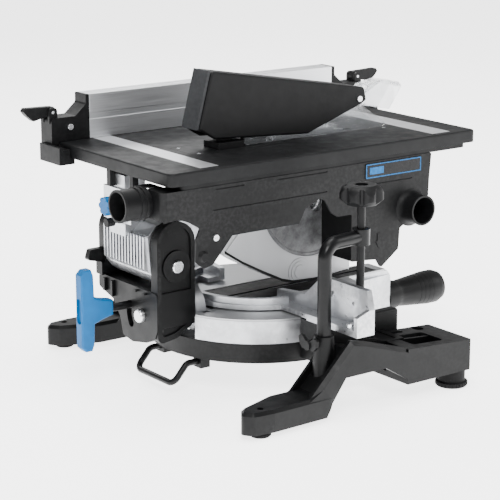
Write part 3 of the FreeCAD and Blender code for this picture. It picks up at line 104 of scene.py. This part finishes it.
# ---------------------------------------------------------------------------
# Materials: every one is a small node tree in object space, in metres
# ---------------------------------------------------------------------------
class Look:
    """Node-tree builder for one procedural material."""

    def __init__(self, name, colour, rough, metal=0.0, **sockets):
        self.material = bpy.data.materials.new(name)
        self.material.use_nodes = True
        self.tree = self.material.node_tree
        self.shader = self.tree.nodes["Principled BSDF"]
        self.colour = colour
        self.set("Metallic", metal)
        self.set("Roughness", rough)
        self.set("Base Color", (*colour, 1.0))
        for key, value in sockets.items():
            self.set(key.replace("_", " "), value)
        coords = self.node("ShaderNodeTexCoord")
        self.place = coords.outputs["Object"]
        self.normal = None

    def set(self, key, value):
        self.shader.inputs[key].default_value = value

    def node(self, kind, **settings):
        node = self.tree.nodes.new(kind)
        for key, value in settings.items():
            setattr(node, key, value)
        return node

    def link(self, source, target):
        self.tree.links.new(source, target)

    def stretch(self, scale):
        mapping = self.node("ShaderNodeMapping")
        mapping.inputs["Scale"].default_value = scale
        self.link(self.place, mapping.inputs["Vector"])
        return mapping.outputs["Vector"]

    def noise(self, scale, detail=3.0, stretch=(1, 1, 1), rough=0.55):
        noise = self.node("ShaderNodeTexNoise")
        noise.inputs["Scale"].default_value = scale
        noise.inputs["Detail"].default_value = detail
        noise.inputs["Roughness"].default_value = rough
        self.link(self.stretch(stretch), noise.inputs["Vector"])
        return noise.outputs["Fac"]

    def remap(self, value, low, high, start=0.3, end=0.7):
        span = self.node("ShaderNodeMapRange")
        span.inputs["From Min"].default_value = start
        span.inputs["From Max"].default_value = end
        span.inputs["To Min"].default_value = low
        span.inputs["To Max"].default_value = high
        self.link(value, span.inputs["Value"])
        return span.outputs["Result"]

    def tint(self, value, dark, light):
        """Base colour swings between dark and light multiples of the base as value goes 0 to 1."""
        mix = self.node("ShaderNodeMix", data_type="RGBA")
        mix.inputs["A"].default_value = (*[min(1.0, c * dark) for c in self.colour], 1.0)
        mix.inputs["B"].default_value = (*[min(1.0, c * light) for c in self.colour], 1.0)
        self.link(value, mix.inputs["Factor"])
        self.link(mix.outputs["Result"], self.shader.inputs["Base Color"])
        return mix

    def roughen(self, value, low, high, start=0.3, end=0.7):
        self.link(self.remap(value, low, high, start, end), self.shader.inputs["Roughness"])

    def bump(self, value, strength, depth):
        bump = self.node("ShaderNodeBump")
        bump.inputs["Strength"].default_value = strength
        bump.inputs["Distance"].default_value = depth
        self.link(value, bump.inputs["Height"])
        if self.normal is not None:
            self.link(self.normal, bump.inputs["Normal"])
        self.normal = bump.outputs["Normal"]
        self.link(self.normal, self.shader.inputs["Normal"])

    def edge_wear(self, amount):
        """Paler, rubbed convex edges."""
        geometry = self.node("ShaderNodeNewGeometry")
        worn = self.remap(geometry.outputs["Pointiness"], 0.0, amount, 0.51, 0.62)
        patch = self.remap(self.noise(220, 4.0), 0.0, 1.0, 0.42, 0.62)
        both = self.node("ShaderNodeMath", operation="MULTIPLY")
        self.link(worn, both.inputs[0])
        self.link(patch, both.inputs[1])
        source = self.shader.inputs["Base Color"].links[0].from_socket
        mix = self.node("ShaderNodeMix", data_type="RGBA")
        mix.inputs["B"].default_value = (*[min(1.0, c * 2.2 + 0.03) for c in self.colour], 1.0)
        self.link(both.outputs[0], mix.inputs["Factor"])
        self.link(source, mix.inputs["A"])
        self.link(mix.outputs["Result"], self.shader.inputs["Base Color"])


def painted_casting(name, colour, rough, grain=1400, depth=0.00018):
    look = Look(name, colour, rough, Specular_IOR_Level=0.18)
    look.tint(look.remap(look.noise(28, 4.0), 0.0, 1.0), 0.78, 1.25)
    look.roughen(look.noise(55, 5.0), rough - 0.07, rough + 0.10)
    look.bump(look.noise(grain, 2.0), 0.22, depth)
    look.bump(look.noise(160, 2.0), 0.08, depth * 2)
    look.edge_wear(0.30)
    return look.material


def moulded(name, colour, rough, grain=2600, depth=0.00010, **sockets):
    look = Look(name, colour, rough, Specular_IOR_Level=0.18, **sockets)
    look.tint(look.remap(look.noise(35, 3.0), 0.0, 1.0), 0.85, 1.16)
    look.roughen(look.noise(90, 4.0), rough - 0.05, rough + 0.07)
    look.bump(look.noise(grain, 1.5), 0.30, depth)
    look.edge_wear(0.22)
    return look.material


def raw_casting(name, colour, rough):
    look = Look(name, colour, rough, 0.95)
    look.tint(look.remap(look.noise(40, 5.0), 0.0, 1.0), 0.86, 1.08)
    look.roughen(look.noise(120, 5.0), rough - 0.08, rough + 0.12)
    look.bump(look.noise(950, 3.0), 0.30, 0.00016)
    look.bump(look.noise(130, 2.0), 0.08, 0.0003)
    look.edge_wear(0.3)
    return look.material


def brushed(name, colour, rough, stretch, scale=60, metal=1.0):
    look = Look(name, colour, rough, metal)
    fine = look.noise(scale, 3.0, stretch)
    look.tint(look.remap(fine, 0.0, 1.0), 0.93, 1.05)
    look.roughen(fine, rough - 0.04, rough + 0.06)
    look.bump(fine, 0.05, 0.00003)
    return look.material


def ringed(name, colour, rough, centre, axis, pitch, metal=1.0, depth=0.00004):
    """Lathe-turned or ground face: fine concentric rings round an axis."""
    look = Look(name, colour, rough, metal)
    shift = look.node("ShaderNodeVectorMath", operation="SUBTRACT")
    shift.inputs[1].default_value = centre
    look.link(look.place, shift.inputs[0])
    flat = look.node("ShaderNodeVectorMath", operation="MULTIPLY")
    flat.inputs[1].default_value = [0 if a == axis else 1 for a in "xyz"]
    look.link(shift.outputs[0], flat.inputs[0])
    length = look.node("ShaderNodeVectorMath", operation="LENGTH")
    look.link(flat.outputs[0], length.inputs[0])
    stack = look.node("ShaderNodeCombineXYZ")
    look.link(length.outputs["Value"], stack.inputs["X"])
    lines = look.node("ShaderNodeTexNoise")
    lines.inputs["Scale"].default_value = 1.0 / pitch
    lines.inputs["Detail"].default_value = 3.0
    look.link(stack.outputs[0], lines.inputs["Vector"])
    look.tint(look.remap(lines.outputs["Fac"], 0.0, 1.0), 0.84, 1.12)
    look.roughen(lines.outputs["Fac"], rough - 0.06, rough + 0.12)
    look.bump(lines.outputs["Fac"], 0.25, depth)
    look.bump(look.noise(300, 3.0), 0.06, 0.0001)
    return look.material


def clear(name, colour, rough, alpha, through):
    """Clear or frosted plastic: through is the share of light it transmits."""
    look = Look(name, colour, rough, Transmission_Weight=through, IOR=1.47, Alpha=alpha)
    look.tint(look.remap(look.noise(20, 3.0), 0.0, 1.0), 0.94, 1.05)
    look.roughen(look.noise(70, 5.0), rough, rough + 0.08)
    look.bump(look.noise(25, 2.0), 0.05, 0.0003)
    return look.material


def mottled(name, colour, rough):
    """Grey moulding with large cloudy lighter and darker patches."""
    look = Look(name, colour, rough, Specular_IOR_Level=0.3)
    look.tint(look.remap(look.noise(60, 6.0, rough=0.7), 0.0, 1.0, 0.35, 0.65), 0.55, 1.45)
    look.roughen(look.noise(140, 4.0), rough - 0.06, rough + 0.10)
    look.bump(look.noise(1200, 2.0), 0.20, 0.0001)
    return look.material


LOOKS = {
    "black_cast": painted_casting("black_cast", (0.0018, 0.0019, 0.0021), 0.40),
    "black_gloss": painted_casting("black_gloss", (0.0040, 0.0042, 0.0046), 0.46, 1600, 0.00004),
    "black_plastic": moulded("black_plastic", (0.0026, 0.0027, 0.0030), 0.48),
    "silver_cast": raw_casting("silver_cast", (0.52, 0.53, 0.55), 0.34),
    "machined_top": ringed("machined_top", (0.42, 0.425, 0.435), 0.34, TURN_AXIS, "z", 0.0009, 0.9),
    "aluminium": brushed("aluminium", (0.80, 0.81, 0.83), 0.38, (0.25, 14, 14)),
    "steel": ringed("steel", (0.66, 0.67, 0.69), 0.30, BLADE_AXIS, "y", 0.0007),
    "zinc": ringed("zinc", (0.78, 0.79, 0.81), 0.24, TURN_AXIS, "z", 0.0012),
    "dark_steel": painted_casting("dark_steel", (0.0030, 0.0031, 0.0034), 0.32, 900, 0.00005),
    "blue_plastic": moulded("blue_plastic", (0.001, 0.095, 0.27), 0.42, 2200, 0.00008),
    "grey_plastic": moulded("grey_plastic", (0.020, 0.021, 0.023), 0.46),
    # guard disc: mid grey with large cloudy lighter and darker patches
    "dust_grey": mottled("dust_grey", (0.135, 0.137, 0.142), 0.50),
    "rubber": moulded("rubber", (0.0034, 0.0034, 0.0036), 0.70, 1500, 0.0002),
    "clear_plastic": clear("clear_plastic", (0.74, 0.77, 0.80), 0.06, 0.40, 0.9),
    "frosted": clear("frosted", (0.62, 0.63, 0.65), 0.28, 0.80, 0.25),
    "badge": moulded("badge", (0.0030, 0.0032, 0.0040), 0.26, 900, 0.00004),
}
LOOK_OF = {"lower_guard": "frosted", "guard_disc": "dust_grey", "guard_roller": "frosted"}


# ---------------------------------------------------------------------------
# Mesh helpers
# ---------------------------------------------------------------------------
def add_piece(name, mesh, body, slot, *nodes, look=None):
    piece = bpy.data.objects.new(name, mesh)
    bpy.context.scene.collection.objects.link(piece)
    mesh.materials.clear()
    mesh.materials.append(look or LOOKS[slot])
    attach(piece, body)
    if nodes:
        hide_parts(*nodes)
    return piece


def bevelled(piece, width):
    bevel = piece.modifiers.new("bevel", "BEVEL")
    bevel.width = width
    bevel.segments = 2
    bevel.limit_method = "ANGLE"
    bevel.angle_limit = math.radians(BEVEL_ANGLE)
    bevel.miter_outer = "MITER_ARC"
    bevel.harden_normals = True
    return piece


def refined(node, width, look):
    """A copy of a CAD node with rounded edges and smooth shading, shown in its place."""
    mesh = NODES[node].data.copy()
    bm = bmesh.new()
    bm.from_mesh(mesh)
    bmesh.ops.remove_doubles(bm, verts=bm.verts, dist=MERGE_GAP)
    if node not in UNMERGED:
        bmesh.ops.dissolve_limit(bm, angle_limit=math.radians(FLAT_ANGLE), verts=bm.verts, edges=bm.edges)
    for face in bm.faces:
        face.smooth = True
    bm.to_mesh(mesh)
    bm.free()
    mesh.set_sharp_from_angle(angle=math.radians(SHARP_ANGLE))
    if "custom_normal" in mesh.attributes:
        mesh.attributes.remove(mesh.attributes["custom_normal"])
    piece = add_piece("v_" + node, mesh, BODY_OF[node], SLOT_OF[node], node, look=look)
    return bevelled(piece, width)


for node in NODES:
    refined(node, BEVELS.get(node, DEFAULT_BEVEL) * MM, LOOKS.get(LOOK_OF.get(node)))


# ---------------------------------------------------------------------------
# Small applied details
# ---------------------------------------------------------------------------
def sheet(name, outline, low, high, body, slot, look):
    """Thin upright plate from an outline in x and z, between two levels of y, rounded at its edges."""
    bm = bmesh.new()
    layers = []
    for level in (low, high):
        layers.append([bm.verts.new((x, level, z)) for x, z in outline])
    bm.faces.new(layers[0])
    bm.faces.new(layers[1][::-1])
    count = len(outline)
    for i in range(count):
        bm.faces.new([layers[0][i], layers[1][i], layers[1][(i + 1) % count], layers[0][(i + 1) % count]])
    bmesh.ops.recalc_face_normals(bm, faces=bm.faces)
    mesh = bpy.data.meshes.new(name)
    bm.to_mesh(mesh)
    bm.free()
    return bevelled(add_piece(name, mesh, body, slot, look=look), MARK_BEVEL)


def badge():
    """Raised border and a plain block on the badge plate."""
    face = BADGE_LOW.y
    x0, x1 = BADGE_LOW.x + MARK_EDGE, BADGE_HIGH.x - MARK_EDGE
    z0, z1 = BADGE_LOW.z + MARK_EDGE, BADGE_HIGH.z - MARK_EDGE
    marks = [
        ((x0, z0), (x1, z0 + MARK_BAR)),
        ((x0, z1 - MARK_BAR), (x1, z1)),
        ((x0, z0 + MARK_BAR), (x0 + MARK_BAR, z1 - MARK_BAR)),
        ((x1 - MARK_BAR, z0 + MARK_BAR), (x1, z1 - MARK_BAR)),
        ((BADGE_LOW.x + BLOCK_START, BADGE_LOW.z + BLOCK_MARGIN),
         (BADGE_LOW.x + BLOCK_END, BADGE_HIGH.z - BLOCK_MARGIN)),
    ]
    for i, ((left, low), (right, high)) in enumerate(marks):
        outline = [(left, low), (right, low), (right, high), (left, high)]
        sheet(f"badge_mark_{i}", outline, face - MARK_PROUD, face + MARK_SUNK,
              BODY_OF["badge_plate"], SLOT_OF["badge_plate"], LOOKS["blue_plastic"])


badge()


# ---------------------------------------------------------------------------
# Floor, light, camera
# ---------------------------------------------------------------------------
def studio():
    bm = bmesh.new()
    bmesh.ops.create_grid(bm, x_segments=2, y_segments=2, size=FLOOR_HALF)
    mesh = bpy.data.meshes.new("floor")
    bm.to_mesh(mesh)
    bm.free()
    floor = bpy.data.objects.new("floor", mesh)
    bpy.context.scene.collection.objects.link(floor)
    floor.location.z = -FLOOR_DROP
    look = Look("floor", (0.97, 0.97, 0.97), 0.60, Specular_IOR_Level=0.1, Emission_Strength=FLOOR_GLOW,
                Emission_Color=(1.0, 1.0, 1.0, 1.0))
    look.tint(look.remap(look.noise(3, 2.0), 0.0, 1.0), 0.99, 1.01)
    mesh.materials.append(look.material)
    world = bpy.data.worlds.new("studio")
    world.use_nodes = True
    sky = world.node_tree.nodes["Background"]
    sky.inputs["Color"].default_value = (1.0, 1.0, 1.0, 1.0)
    sky.inputs["Strength"].default_value = SKY_STRENGTH
    bpy.context.scene.world = world


def lamp(name, place, size, power):
    """Rectangular lamp aimed at the middle of the machine."""
    data = bpy.data.lights.new(name, "AREA")
    data.shape = "RECTANGLE"
    data.size, data.size_y = size
    data.energy = power
    light = bpy.data.objects.new(name, data)
    light.location = place
    light.rotation_euler = (Vector(CENTRE) - Vector(place)).to_track_quat("-Z", "Y").to_euler()
    bpy.context.scene.collection.objects.link(light)


def camera():
    """Camera off the rear corner on the blade cover's side, above the table's height."""
    data = bpy.data.cameras.new("camera")
    data.lens = EYE_LENS
    data.sensor_width = EYE_SENSOR
    eye = bpy.data.objects.new("camera", data)
    eye.location = Vector(EYE)
    eye.rotation_euler = Vector(EYE_FORWARD).to_track_quat("-Z", "Y").to_euler()
    bpy.context.scene.collection.objects.link(eye)
    bpy.context.scene.camera = eye


studio()
for setting in LAMPS:
    lamp(*setting)
camera()
